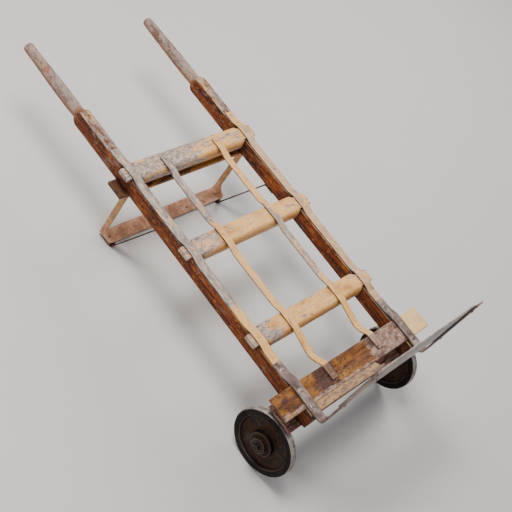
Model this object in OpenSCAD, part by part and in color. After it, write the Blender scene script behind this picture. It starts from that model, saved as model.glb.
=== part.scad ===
// Wooden hand truck for sacks and crates, lying on its two wheels and its rear leg.
// Two rails run from the nose to the handles. Iron straps and a toe plate carry the load.
// Millimetres. +Z is up, +Y points from the nose to the handles, +X is to the right.
// The origin is on the floor, in the middle of the whole truck.

/* [Which piece] */
// Piece to draw, or all of them

/* [Rails and handles] */
// Length of each rail from the nose to the handle's shoulder
rail_length = 1077; // [800:1:1400]
// Distance between the centre lines of the two rails
rail_spacing = 470; // [360:1:620]
// Width of each rail
rail_width = 35; // [33:0.5:46]
// Depth of each rail, top to bottom
rail_depth = 47; // [38:0.5:60]
// Length of each handle beyond the shoulder
handle_length = 264; // [180:1:340]
// Diameter of each handle at its fullest point
handle_full_d = 38.4; // [34:0.2:42]
// Diameter of each handle near its tip
handle_tip_d = 31; // [26:0.5:33]

/* [Crossbars] */
// Width of each crossbar
crossbar_width = 62; // [48:1:76]
// Thickness of each crossbar at its crown
crossbar_thick = 30.6; // [24:0.2:38]
// Width of the tenon that lies across the rail
tenon_width = 40; // [30:1:46]
// How far each tenon stands out beyond the rail's outer face
tenon_reach = 14.5; // [6:0.5:24]
// How far the crown of a crossbar stands above the rails
crossbar_rise = 6.6; // [3:0.2:10]
// Distance from the nose end of the rails to the lower crossbar
nose_to_lower_bar = 258; // [245:1:320]
// Distance from the top crossbar to the handle's shoulder
top_bar_to_handle = 242; // [130:1:300]
// How far the middle crossbar stands above the midpoint between the other two
middle_bar_shift = 10; // [-40:1:40]

/* [Boards under and over the axle] */
// Width of the board that lies over the rails and the wheels
board_width = 71; // [60:1:84]
// Thickness of that board
board_thick = 8; // [6:0.5:14]
// Gap between the nose end of the rails and that board
board_setback = 33.5; // [28:0.5:38]
// Thickness of the thin planks that lie under the rails
plank_thick = 10; // [7:0.5:14]
// Width of the plank over the axle
under_board_width = 88; // [84:1:100]
// Width of the plank at the rear leg
crosspiece_width = 58; // [44:1:62]
// How far the plank at the rear leg stands out beyond each rail
crosspiece_reach = 26.5; // [10:0.5:40]

/* [Straps and toe iron] */
// Width of the two straps on the rails
outer_strap_width = 29; // [22:0.5:31]
// Width of the two straps between the rails
inner_strap_width = 24; // [18:0.5:34]
// Thickness of all four straps
strap_thick = 3.8; // [2.5:0.1:5]
// Distance of each inner strap from the middle of the truck
inner_strap_x = 107; // [70:1:130]
// How far the inner straps dip between the lower crossbar and the board
strap_dip = 15; // [6:0.5:20]
// Width of the two irons that carry the toe plate
arm_width = 30; // [24:0.5:32]
// Thickness of those irons
arm_thick = 5.8; // [4:0.2:8]
// Length of each iron along its rail
arm_length = 175; // [168:1:185]
// Height of the toe plate's upper edge above the rails
toe_height = 270; // [200:1:320]
// Height of the toe plate's lower edge above the rails
toe_gap = 78; // [40:1:110]
// Thickness of the toe plate
toe_plate_thick = 4.4; // [3:0.2:6]

/* [Wheels and axle] */
// Diameter of each wheel
wheel_d = 203.2; // [150:0.1:260]
// Width of the wheel's rim
rim_width = 23; // [18:0.5:32]
// Diameter of the axle
axle_d = 20; // [16:0.5:24]
// Radial running clearance of a wheel on the axle
wheel_clearance = 0.06; // [0.02:0.01:0.1]
// Gap between the tread and the plank above it
tread_gap = 5.8; // [4:0.2:14]
// Distance of the axle from the nose end of the rails
axle_setback = 39; // [34:0.5:44]

/* [Rear leg] */
// Width of the flat foot of the leg
foot_width = 47; // [38:1:56]
// Thickness of the leg's iron
leg_thick = 6; // [4:0.5:8]
// Width of the leg's two upright arms
leg_arm_width = 18; // [14:0.5:24]
// Thickness of the two thin braces
brace_thick = 4; // [3:0.2:6]
// How far each brace leans towards the nose on its way up
brace_lean = 101; // [70:1:130]

/* [Hidden] */
$fn = 96;
half = rail_spacing / 2;
rail_out = half + rail_width / 2;
rail_in = half - rail_width / 2;
wheel_r = wheel_d / 2;
axle_z = wheel_r;
under_top = wheel_r * 2 + tread_gap + plank_thick;
deck = under_top + rail_depth;
lower_y = nose_to_lower_bar;
top_y = rail_length - top_bar_to_handle;
middle_y = (lower_y + top_y) / 2 + middle_bar_shift;
bars_y = [lower_y, middle_y, top_y];
crown = deck + crossbar_rise;
tenon_depth = 5;
board_y0 = board_setback;
board_y1 = board_setback + board_width;
board_top = deck + board_thick;
strip_thick = board_thick - 2;
iron_x = half + 1;
// Hubs, washers and brackets, counted outwards from the rail's outer face.
bracket_face = rail_out + 1.5;
washer_thick = 3;
side_gap = 0.3;
hub_in = bracket_face + washer_thick + side_gap;
rim_in = hub_in + 21.7;
rim_out = rim_in + rim_width;
hub_out = rim_out + 18;
axle_end = hub_out + side_gap + washer_thick + 7.7;
board_half = axle_end + 2;
axle_r = axle_d / 2;
// Fasteners: shanks sit in bores a little wider than they are.
bolt_r = 5;
rivet_r = 2.5;
screw_r = 3;
bore_play = 0.05;
bolts_y = [28, board_y0 + 45.5, arm_length - 24];
bracket_thick = 8;
// Toe iron: bend, upright prong and plate, beyond the nose end of the rails.
bend_in = 12;
prong_back = -17.6;
prong_front = prong_back - arm_thick;
load_face = prong_back + toe_plate_thick;
plate_half = iron_x - 2;
plate_rivet_x = iron_x - 8;
head_rise = 3;
// Rear leg.
leg_y1 = top_y - crossbar_width / 2 - 4 + leg_arm_width;
leg_y0 = leg_y1 - foot_width;
leg_out = half + 12;
piece_y0 = leg_y1 - leg_arm_width;
piece_y1 = piece_y0 + crosspiece_width;
leg_top = under_top - plank_thick;
foot_z = brace_thick;
brace_x = rail_in + 10.5;
brace_width = 20;
brace_top_y = leg_y0 - brace_lean;
foot_rivet_x = leg_out - 22.5;
leg_screw_x = leg_out - 18;
// Strap ends.
outer_end = top_y + 86;
inner_end = top_y + 13;
// The whole truck is centred on the origin.
low_y = min(prong_front - head_rise, axle_setback - wheel_r);
high_y = rail_length + handle_length;
shift_y = -(low_y + high_y) / 2;

// ---- helpers -------------------------------------------------------------

function unit(v) = v / norm(v);

// One rounded corner of a bent strip, as points on its arc.
function corner(a, b, c, r, k) =
    let (u = unit(a - b), v = unit(c - b), h = acos(u * v) / 2)
    let (m = b + unit(u + v) * r / sin(h), t = r / tan(h))
    let (p = b + u * t - m, q = b + v * t - m)
    let (s = atan2(p.y, p.x), e = atan2(q.y, q.x), w = e - s)
    let (d = w > 180 ? w - 360 : (w < -180 ? w + 360 : w))
    [for (i = [0:k]) m + r * [cos(s + d * i / k), sin(s + d * i / k)]];

// A path through corner points, with every inner corner rounded.
function bent(pts, r, k = 5) = concat(
    [pts[0]],
    [for (i = [1:len(pts) - 2]) each corner(pts[i - 1], pts[i], pts[i + 1], r[i - 1], k)],
    [pts[len(pts) - 1]]);

// The other side of a strip, a thickness to the left of its path.
function beside(path, t) =
    [for (i = [0:len(path) - 1])
        let (a = path[max(i - 1, 0)], b = path[min(i + 1, len(path) - 1)], d = unit(b - a))
        path[i] + t * [-d.y, d.x]];

function reversed(list) = [for (i = [len(list) - 1:-1:0]) list[i]];

// Flat strip of one thickness, bent along a path.
module strip_outline(path, t) {
    polygon(concat(path, reversed(beside(path, t))));
}

module placed() {
    translate([0, shift_y, 0]) children();
}

module on_left() {
    mirror([1, 0, 0]) children();
}

module both_sides() {
    children();
    on_left() children();
}

// Turns a shape drawn in Y and Z into a solid from x0 to x1.
module along_x(x0, x1) {
    translate([x0, 0, 0]) rotate([90, 0, 90]) linear_extrude(x1 - x0) children();
}

// Turns a shape drawn in X and Z into a solid from y0 to y1.
module along_y(y0, y1) {
    translate([0, y1, 0]) rotate([90, 0, 0]) linear_extrude(y1 - y0) children();
}

// Low round head with its flat side on the ground plane.
module round_head(r, rise) {
    ball = (r * r + rise * rise) / (2 * rise);
    intersection() {
        translate([0, 0, rise - ball]) sphere(ball);
        cylinder(h = rise + 1, r = r + 1);
    }
}

// Rectangle from a to b with the two top corners rounded.
module crowned(a, b, z0, z1, ra, rb) {
    difference() {
        translate([a, z0]) square([b - a, z1 - z0]);
        difference() {
            translate([a - 1, z1 - ra]) square([ra + 1, ra + 1]);
            translate([a + ra, z1 - ra]) circle(ra);
        }
        difference() {
            translate([b - rb, z1 - rb]) square([rb + 1, rb + 1]);
            translate([b - rb, z1 - rb]) circle(rb);
        }
    }
}

// ---- bores shared by the pieces that a fastener passes through ------------

module bolt_bores() {
    both_sides() {
        for (y = bolts_y) {
            translate([iron_x, y, axle_z]) cylinder(h = deck, r = bolt_r + bore_play);
        }
    }
}

// Places of the strap rivets: x, y and height of the strap's underside there.

outer_rivets = [
    [iron_x, outer_end - 12, deck],
    [iron_x, top_y, crown],
    [iron_x, middle_y, crown],
    [iron_x, lower_y, crown],
    [iron_x, arm_length + 19, deck]
];

inner_rivets = [
    [inner_strap_x, top_y + 4, crown],
    [inner_strap_x, middle_y, crown],
    [inner_strap_x, lower_y, crown],
    [inner_strap_x, board_y1 - 36, board_top]
];

rivet_depth = 8;

module rivet_bores() {
    both_sides() {
        for (p = concat(outer_rivets, inner_rivets)) {
            translate([p.x, p.y, p.z - rivet_depth]) {
                cylinder(h = rivet_depth * 3, r = rivet_r + bore_play);
            }
        }
    }
}

module leg_screw_bores() {
    both_sides() {
        translate([leg_screw_x, piece_y0 + leg_arm_width / 2, leg_top - 20]) {
            cylinder(h = 20 + plank_thick + 25, r = screw_r + bore_play);
        }
        translate([brace_x, brace_top_y - 18, under_top - 20]) {
            cylinder(h = 20 + 25, r = screw_r + bore_play);
        }
    }
}

// ---- wooden pieces --------------------------------------------------------

// Handle and shoulder as one turned shape, clipped by the rail's flat sides.
module turned_handle() {
    f = handle_full_d / 2;
    t = handle_tip_d / 2;
    n = handle_length;
    translate([0, rail_length, 0]) rotate([-90, 0, 0]) rotate_extrude() polygon([
        [0, -30], [f + 14, -30], [f + 12, -18], [f + 6, -7], [f + 1, -1.5], [f - 1.4, 3],
        [f - 1, 12], [f - 0.2, 30], [f, 55], [f - 0.3, n * 0.4], [f - 1.6, n * 0.6],
        [t + 0.8, n * 0.8], [t, n - 10], [t - 0.6, n - 5], [t - 2.5, n - 1.6],
        [t - 5.5, n], [0, n]
    ]);
}

module rail() {
    difference() {
        translate([half, 0, deck - rail_depth / 2]) union() {
            translate([-rail_width / 2, 0, -rail_depth / 2]) {
                cube([rail_width, rail_length - 29, rail_depth]);
            }
            intersection() {
                turned_handle();
                translate([-rail_width / 2, rail_length - 30, -rail_depth / 2]) {
                    cube([rail_width, handle_length + 40, rail_depth]);
                }
            }
        }
        for (y = bars_y) {
            translate([rail_in - 1, y - tenon_width / 2, deck - tenon_depth]) {
                cube([rail_width + 2, tenon_width, tenon_depth + 5]);
            }
        }
        bolt_bores();
        rivet_bores();
        leg_screw_bores();
    }
}

module left_rail() {
    color("BurlyWood") placed() on_left() rail();
}

module right_rail() {
    color("BurlyWood") placed() rail();
}

// Crossbar with a crowned top, a soft front edge and a tenon at each end.
module crossbar(y) {
    w = crossbar_width / 2;
    s = (crossbar_width - tenon_width) / 2;
    low = crown - crossbar_thick;
    crown_r = 150;
    difference() {
        union() {
            intersection() {
                along_x(-rail_in, rail_in) intersection() {
                    crowned(y - w, y + w, low, crown, 18, 9);
                    translate([y, crown - crown_r]) circle(crown_r);
                }
                translate([0, 0, low - 1]) linear_extrude(crossbar_thick + 2) polygon([
                    [-rail_in, y - w + s], [-rail_in + s, y - w], [rail_in - s, y - w],
                    [rail_in, y - w + s], [rail_in, y + w - s], [rail_in - s, y + w],
                    [-rail_in + s, y + w], [-rail_in, y + w - s]
                ]);
            }
            both_sides() tenon(y);
        }
        rivet_bores();
    }
}

module tenon(y) {
    e = rail_out + tenon_reach;
    r = 3;
    z = deck - tenon_depth;
    h = tenon_depth + crossbar_rise;
    translate([rail_in - 5, y - tenon_width / 2, z]) cube([e - rail_in + 5 - r, tenon_width, h]);
    translate([e - r - 1, y - tenon_width / 2 + r, z]) cube([r + 1, tenon_width - 2 * r, h]);
    for (k = [-1, 1]) {
        translate([e - r, y + k * (tenon_width / 2 - r), z]) cylinder(h = h, r = r);
    }
}

module top_crossbar() {
    color("Khaki") placed() crossbar(top_y);
}

module middle_crossbar() {
    color("Khaki") placed() crossbar(middle_y);
}

module lower_crossbar() {
    color("Khaki") placed() crossbar(lower_y);
}

module leg_crosspiece() {
    color("Goldenrod") placed() difference() {
        translate([-rail_out - crosspiece_reach, piece_y0, leg_top]) {
            cube([2 * (rail_out + crosspiece_reach), crosspiece_width, plank_thick]);
        }
        leg_screw_bores();
    }
}

module axle_board() {
    color("Peru") placed() difference() {
        along_x(-board_half, board_half) crowned(board_y0, board_y1, deck, board_top, 3, 2);
        bolt_bores();
        rivet_bores();
    }
}

module under_board() {
    color("Tan") placed() difference() {
        translate([-rim_out + 2, 10, leg_top]) {
            cube([2 * (rim_out - 2), under_board_width, plank_thick]);
        }
        translate([-rim_out, 24, under_top - 3]) cube([2 * rim_out, 2, 4]);
        bolt_bores();
    }
}

// Thin strip in front of the axle board; its right end has broken away.
module toe_strip() {
    x0 = -iron_x - arm_width / 2;
    y0 = 9;
    y1 = board_y0;
    notch = 11;
    color("Wheat") placed() difference() {
        translate([0, 0, deck]) linear_extrude(strip_thick) polygon([
            [x0, y0], [78, y0], [84, y0 + 5], [80, y0 + 8], [66, y0 + 10], [59, y1 - 6],
            [56, y1], [x0, y1]
        ]);
        translate([73, y1 - 6, deck - 1]) cylinder(h = strip_thick + 2, r = notch);
        bolt_bores();
    }
}

// ---- iron straps ----------------------------------------------------------

// Strap on a rail: it climbs over each tenon and comes back down to the rail.
module outer_strap() {
    a = tenon_width / 2 + 2;
    b = a + 24;
    lift = crossbar_rise;
    pts = concat(
        [[arm_length + 1, deck]],
        [for (y = bars_y) each [[y - b, deck], [y - a, deck + lift],
                                [y + a, deck + lift], [y + b, deck]]],
        [[outer_end, deck]]);
    turns = [for (i = [1:12]) 14];
    difference() {
        along_x(iron_x - outer_strap_width / 2, iron_x + outer_strap_width / 2) {
            strip_outline(bent(pts, turns, 4), strap_thick);
        }
        rivet_bores();
    }
}

// Strap between the rails: over the crossbars and down on to the axle board.
module inner_strap() {
    w = crossbar_width / 2;
    pts = [
        [board_y1 - 48, board_top], [board_y1 + 3, board_top],
        [board_y1 + 36, deck - strap_dip], [lower_y - w + 4, crown], [lower_y + w - 4, crown],
        [lower_y + w + 26, deck - 1], [middle_y - w - 30, deck - 1],
        [middle_y - w + 4, crown], [middle_y + w - 4, crown],
        [middle_y + w + 26, deck - 2], [top_y - w - 30, deck - 2],
        [top_y - w + 4, crown], [inner_end, crown]
    ];
    turns = [12, 55, 16, 16, 30, 30, 16, 16, 30, 30, 16];
    x = inner_strap_x;
    difference() {
        along_x(x - inner_strap_width / 2, x + inner_strap_width / 2) {
            strip_outline(bent(pts, turns, 4), strap_thick);
        }
        rivet_bores();
    }
}

module left_outer_strap() {
    color("Silver") placed() on_left() outer_strap();
}

module right_outer_strap() {
    color("Silver") placed() outer_strap();
}

module left_inner_strap() {
    color("Silver") placed() on_left() inner_strap();
}

module right_inner_strap() {
    color("Silver") placed() inner_strap();
}

// ---- toe iron -------------------------------------------------------------

prong_top = deck + toe_height + 12;
rivet_rows = [deck + toe_gap + 22, deck + toe_height - 26];

// Iron along the rail and over the board, turned up at the nose.
module nose_arm() {
    r = bend_in + arm_thick;
    c = 9;
    pts = [
        [prong_front, prong_top], [prong_front, board_top], [board_y1 + 8, board_top],
        [arm_length - 39, deck], [arm_length, deck]
    ];
    difference() {
        along_x(iron_x - arm_width / 2, iron_x + arm_width / 2) {
            strip_outline(bent(pts, [r, 30, 30], 10), arm_thick);
        }
        for (k = [-1, 1]) {
            translate([iron_x + k * (arm_width / 2 - c), 0, prong_top - c]) difference() {
                translate([k > 0 ? 0 : -c - 1, prong_front - 1, 0]) {
                    cube([c + 1, arm_thick + 2, c + 1]);
                }
                translate([0, prong_back + 2, 0]) rotate([90, 0, 0]) {
                    cylinder(h = arm_thick + 4, r = c);
                }
            }
        }
        bolt_bores();
        plate_rivet_bores();
    }
}

module plate_rivet_bores() {
    both_sides() {
        for (z = rivet_rows) {
            translate([plate_rivet_x, load_face + 5, z]) rotate([90, 0, 0]) {
                cylinder(h = 40, r = rivet_r + bore_play);
            }
        }
    }
}

module left_nose_arm() {
    color("DimGray") placed() on_left() nose_arm();
}

module right_nose_arm() {
    color("DimGray") placed() nose_arm();
}

// Flat plate on the load side of the two upright prongs.
module toe_plate() {
    c = 14;
    h = toe_height - toe_gap;
    color("SlateGray") placed() difference() {
        along_y(prong_back, load_face) translate([0, deck + toe_gap]) union() {
            translate([-plate_half, c]) square([2 * plate_half, h - 2 * c]);
            translate([-plate_half + c, 0]) square([2 * (plate_half - c), h]);
            for (k = [-1, 1]) {
                translate([k * (plate_half - c), c]) circle(c);
                translate([k * (plate_half - c), h - c]) circle(c);
            }
        }
        plate_rivet_bores();
    }
}

// ---- rear leg -------------------------------------------------------------

// One iron bent into a U, with a wide foot, narrow arms and a tab at each end.
module rear_leg() {
    o = leg_out;
    flare = foot_width - leg_arm_width;
    low_bend = 17;
    pts = [
        [44 - o, leg_top], [-o, leg_top], [-o, foot_z], [o, foot_z], [o, leg_top],
        [o - 44, leg_top]
    ];
    color("RosyBrown") placed() difference() {
        intersection() {
            along_y(leg_y0, leg_y1) {
                strip_outline(bent(pts, [10, low_bend, low_bend, 10], 8), leg_thick);
            }
            along_x(-o - 1, o + 1) difference() {
                translate([leg_y0, foot_z]) square([foot_width, leg_top - foot_z]);
                translate([leg_y0, foot_z + low_bend + flare]) circle(flare);
                translate([leg_y0 - 1, foot_z + low_bend + flare]) square([flare + 1, leg_top]);
            }
        }
        leg_screw_bores();
        foot_rivet_bores();
    }
}

module foot_rivet_bores() {
    both_sides() {
        translate([foot_rivet_x, leg_y0 + 22, -1]) {
            cylinder(h = 30, r = rivet_r + bore_play);
        }
    }
}

// Thin strap from under the foot up to the rail.
module leg_brace() {
    top = under_top - brace_thick;
    pts = [
        [brace_top_y - 34, top], [brace_top_y, top], [leg_y0 - 8, 0], [leg_y0 + 32, 0]
    ];
    difference() {
        along_x(brace_x - brace_width / 2, brace_x + brace_width / 2) {
            strip_outline(bent(pts, [7, 9], 6), brace_thick);
        }
        leg_screw_bores();
        foot_rivet_bores();
    }
}

module left_leg_brace() {
    color("Sienna") placed() on_left() leg_brace();
}

module right_leg_brace() {
    color("Sienna") placed() leg_brace();
}

// ---- axle and wheels ------------------------------------------------------

// Iron angle under the plank, with a boss that grips the axle.
module axle_bracket() {
    y = axle_setback;
    y0 = 14;
    y1 = under_board_width + 6;
    z1 = leg_top;
    web = 6;
    boss = 18;
    difference() {
        union() {
            translate([rail_in + 2, y0, z1 - bracket_thick]) {
                cube([bracket_face - rail_in - 2, y1 - y0, bracket_thick]);
            }
            along_x(bracket_face - web, bracket_face) {
                polygon([
                    [y0, z1 - 1], [y0, z1 - 14], [y - boss * 0.9, axle_z + boss * 0.44],
                    [y - boss * 0.9, axle_z], [y + boss * 0.9, axle_z],
                    [y + boss * 0.9, axle_z + boss * 0.44], [y1, z1 - 14], [y1, z1 - 1]
                ]);
            }
            translate([bracket_face - 16, y, axle_z]) rotate([0, 90, 0]) {
                cylinder(h = 16, r = boss);
            }
        }
        translate([0, y, axle_z]) rotate([0, 90, 0]) cylinder(h = axle_end, r = axle_r);
        bolt_bores();
    }
}

module left_axle_bracket() {
    color("DarkSlateGray") placed() on_left() axle_bracket();
}

module right_axle_bracket() {
    color("DarkSlateGray") placed() axle_bracket();
}

pin_r = 2;
pin_x = hub_out + side_gap + washer_thick + pin_r;

module axle() {
    c = 1.5;
    color("Gray") placed() difference() {
        translate([0, axle_setback, axle_z]) rotate([0, 90, 0]) rotate_extrude() polygon([
            [0, -axle_end], [axle_r - c, -axle_end], [axle_r, -axle_end + c],
            [axle_r, axle_end - c], [axle_r - c, axle_end], [0, axle_end]
        ]);
        both_sides() translate([pin_x, axle_setback, axle_z - axle_r - 1]) {
            cylinder(h = 2 * axle_r + 2, r = pin_r + bore_play);
        }
    }
}

// Cast wheel: wide rim, thin web, and a hub that steps down to the axle.
module wheel() {
    m = (rim_in + rim_out) / 2;
    b = axle_r + wheel_clearance;
    i = hub_in - m;
    o = hub_out - m;
    w = rim_width / 2;
    r = wheel_r;
    s = axle_r / 10;
    translate([m, axle_setback, axle_z]) rotate([0, 90, 0]) rotate_extrude() polygon([
        [b, i], [22 * s, i], [23.5 * s, i + 1.5], [27 * s, -7], [31 * s, -4], [r * 0.745, -4],
        [r * 0.77, -6], [r * 0.79, -w + 1], [r * 0.8, -w], [r - 3, -w], [r, -w + 3],
        [r, w - 3], [r - 3, w], [r * 0.81, w], [r * 0.795, w - 1], [r * 0.775, 6],
        [r * 0.75, 4], [39 * s, 4], [37.6 * s, 5.5], [37 * s, o - 13], [35 * s, o - 11],
        [24.5 * s, o - 11], [23.4 * s, o - 10], [23 * s, o - 1.5], [21.5 * s, o], [b, o]
    ]);
}

module left_wheel() {
    color("Maroon") placed() on_left() wheel();
}

module right_wheel() {
    color("Maroon") placed() wheel();
}

module washer(x) {
    translate([x, axle_setback, axle_z]) rotate([0, 90, 0]) difference() {
        cylinder(h = washer_thick, r = axle_r + 9);
        translate([0, 0, -1]) cylinder(h = washer_thick + 2, r = axle_r + 0.1);
    }
}

module hub_washers() {
    color("Gainsboro") placed() both_sides() {
        washer(bracket_face);
        washer(hub_out + side_gap);
    }
}

// Split pin: round shank, an eye on top and two spread ends.
module cotter_pin() {
    up = axle_r + 1;
    translate([pin_x, axle_setback, axle_z]) {
        translate([0, 0, -up - 2]) cylinder(h = 2 * up + 3, r = pin_r);
        translate([0, 0, up + 4.6]) rotate([0, 90, 0]) rotate_extrude() {
            translate([3.4, 0]) circle(1.6);
        }
        for (k = [-1, 1]) {
            translate([0, 0, -up - 1.4]) rotate([180 + k * 38, 0, 0]) cylinder(h = 9, r = 1.3);
        }
    }
}

module cotter_pins() {
    color("LightGray") placed() both_sides() cotter_pin();
}

// ---- fasteners ------------------------------------------------------------

module strap_rivet(p) {
    translate([p.x, p.y, p.z]) {
        translate([0, 0, strap_thick]) round_head(5.4, 2);
        translate([0, 0, -rivet_depth]) cylinder(h = rivet_depth + strap_thick + 0.5, r = rivet_r);
    }
}

module strap_rivets() {
    color("DarkGray") placed() both_sides() {
        for (p = concat(outer_rivets, inner_rivets)) {
            strap_rivet(p);
        }
    }
}

// Height of the irons at each bolt, and of the surface its nut bears on.
bolt_tops = [board_top + arm_thick, board_top + arm_thick, deck + arm_thick];
bolt_seats = [leg_top - bracket_thick, leg_top - bracket_thick, under_top];
nut_high = 8;
nut_flats = 17;

module arm_bolts() {
    color("DarkGray") placed() both_sides() {
        for (i = [0:2]) {
            translate([iron_x, bolts_y[i], 0]) {
                translate([0, 0, bolt_tops[i]]) round_head(8, 2.6);
                translate([0, 0, bolt_seats[i] - nut_high - 4]) {
                    cylinder(h = bolt_tops[i] - bolt_seats[i] + nut_high + 4.5, r = bolt_r);
                }
            }
        }
    }
}

module hex_nut() {
    a = nut_flats / 2;
    difference() {
        intersection() {
            translate([-a, -a * 2, 0]) cube([2 * a, 4 * a, nut_high]);
            rotate([0, 0, 60]) translate([-a, -a * 2, 0]) cube([2 * a, 4 * a, nut_high]);
            rotate([0, 0, 120]) translate([-a, -a * 2, 0]) cube([2 * a, 4 * a, nut_high]);
        }
        translate([0, 0, -1]) cylinder(h = nut_high + 2, r = bolt_r + bore_play);
    }
}

module arm_nuts() {
    color("DarkGray") placed() both_sides() {
        for (i = [0:2]) {
            translate([iron_x, bolts_y[i], bolt_seats[i] - nut_high]) hex_nut();
        }
    }
}

// Round heads outside; hammered flush on the side that carries the load.
module plate_rivets() {
    reach = arm_thick + toe_plate_thick;
    color("DarkGray") placed() both_sides() {
        for (z = rivet_rows) {
            translate([plate_rivet_x, load_face, z]) rotate([90, 0, 0]) {
                cylinder(h = reach + 0.5, r = rivet_r);
                translate([0, 0, reach]) round_head(5.6, head_rise);
            }
        }
    }
}

// Screws that hold the leg's tabs and the tops of the braces to the rails.
module leg_screw(x, y, seat, reach) {
    translate([x, y, seat]) {
        rotate([180, 0, 0]) round_head(6, 3);
        translate([0, 0, -0.5]) cylinder(h = reach, r = screw_r);
    }
}

module leg_screws() {
    color("DarkGray") placed() both_sides() {
        leg_screw(leg_screw_x, piece_y0 + leg_arm_width / 2, leg_top - leg_thick,
                  leg_thick + plank_thick + 22);
        leg_screw(brace_x, brace_top_y - 18, under_top - brace_thick, brace_thick + 22);
    }
}

module foot_rivets() {
    color("DarkGray") placed() both_sides() {
        translate([foot_rivet_x, leg_y0 + 22, 0]) {
            cylinder(h = foot_z + leg_thick + 0.5, r = rivet_r);
            translate([0, 0, foot_z + leg_thick]) round_head(5.4, 2.4);
        }
    }
}

// ---- pieces ---------------------------------------------------------------

left_rail();
right_rail();
top_crossbar();
middle_crossbar();
lower_crossbar();
leg_crosspiece();
axle_board();
under_board();
toe_strip();
left_outer_strap();
right_outer_strap();
left_inner_strap();
right_inner_strap();
left_nose_arm();
right_nose_arm();
toe_plate();
rear_leg();
left_leg_brace();
right_leg_brace();
left_axle_bracket();
right_axle_bracket();
axle();
left_wheel();
right_wheel();
hub_washers();
cotter_pins();
strap_rivets();
arm_bolts();
arm_nuts();
plate_rivets();
leg_screws();
foot_rivets();
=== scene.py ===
"""Looks for an old wooden hand truck with iron straps, a toe plate and cast wheels."""

import logging
from dataclasses import dataclass, field
from enum import Enum
from typing import Dict, List, Protocol, Sequence, Tuple, Union

import bpy
from mathutils import Matrix, Vector


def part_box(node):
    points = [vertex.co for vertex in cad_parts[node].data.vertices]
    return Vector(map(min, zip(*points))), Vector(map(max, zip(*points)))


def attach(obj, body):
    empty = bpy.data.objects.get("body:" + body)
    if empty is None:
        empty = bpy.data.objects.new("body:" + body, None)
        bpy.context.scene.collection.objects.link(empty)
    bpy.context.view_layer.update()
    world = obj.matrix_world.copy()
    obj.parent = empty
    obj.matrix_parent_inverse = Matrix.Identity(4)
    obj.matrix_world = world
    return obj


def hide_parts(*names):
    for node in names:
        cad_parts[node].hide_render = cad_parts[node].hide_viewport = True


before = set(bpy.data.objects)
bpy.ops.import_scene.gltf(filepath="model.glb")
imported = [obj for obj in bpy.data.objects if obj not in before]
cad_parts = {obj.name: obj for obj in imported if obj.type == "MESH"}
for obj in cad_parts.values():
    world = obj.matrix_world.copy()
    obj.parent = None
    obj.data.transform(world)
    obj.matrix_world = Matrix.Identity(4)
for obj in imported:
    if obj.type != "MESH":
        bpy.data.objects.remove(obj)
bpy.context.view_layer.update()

logging.basicConfig(level=logging.INFO, format="%(message)s")
LOG = logging.getLogger("hand_truck")

Colour = Tuple[float, float, float, float]
Socket = bpy.types.NodeSocket
Amount = Union[float, Socket]
Tone = Union[Colour, Socket]

# Gloss of paint, timber and thin iron, and of the cast wheels.
COAT_GLOSS = 0.28
WHEEL_GLOSS = 0.14
# Rays for each edge and corner mask.
MASK_SAMPLES = 6
# How closely the rounded and the true surface agree off an edge, and on one.
OFF_EDGE, ON_EDGE = 0.985, 0.86
# How open the surface is outside a corner, and deep in one.
OUT_OF_CORNER, IN_CORNER = 0.95, 0.35
# Points nearer than this, in metres, become one.
MERGE_WITHIN = 0.00002
# Faces within this angle, in radians, are one flat face.
FLAT_WITHIN = 0.01
# Edges sharper than this angle, in radians, are softened.
SHARP_FROM = 0.6
# A place far past the truck, in metres, for a mark that a piece doesn't have.
NOWHERE = 9.0
# A mix node's inputs and output for colour.
MIX_SHARE, MIX_BASE, MIX_OVER, MIX_RESULT = 0, 6, 7, 2


class Axis(Enum):
    """The three directions of the truck's own frame."""

    ACROSS = "X"
    ALONG = "Y"
    UP = "Z"


class Body(Enum):
    """The rigid bodies that pieces ride on."""

    FRAME = "frame"
    LEFT_WHEEL = "left_wheel_body"
    RIGHT_WHEEL = "right_wheel_body"


def tint(red: int, green: int, blue: int) -> Colour:
    """Turns screen colour values into the linear colour that a shader takes.

    Args:
        red: Red, 0 to 255.
        green: Green, 0 to 255.
        blue: Blue, 0 to 255.

    Returns:
        The linear colour, with full alpha.
    """

    def linear(value: float) -> float:
        """Undoes the screen's curve for one channel."""
        share = value / 255
        return share / 12.92 if share <= 0.04045 else ((share + 0.055) / 1.055) ** 2.4

    return (linear(red), linear(green), linear(blue), 1.0)


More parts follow.
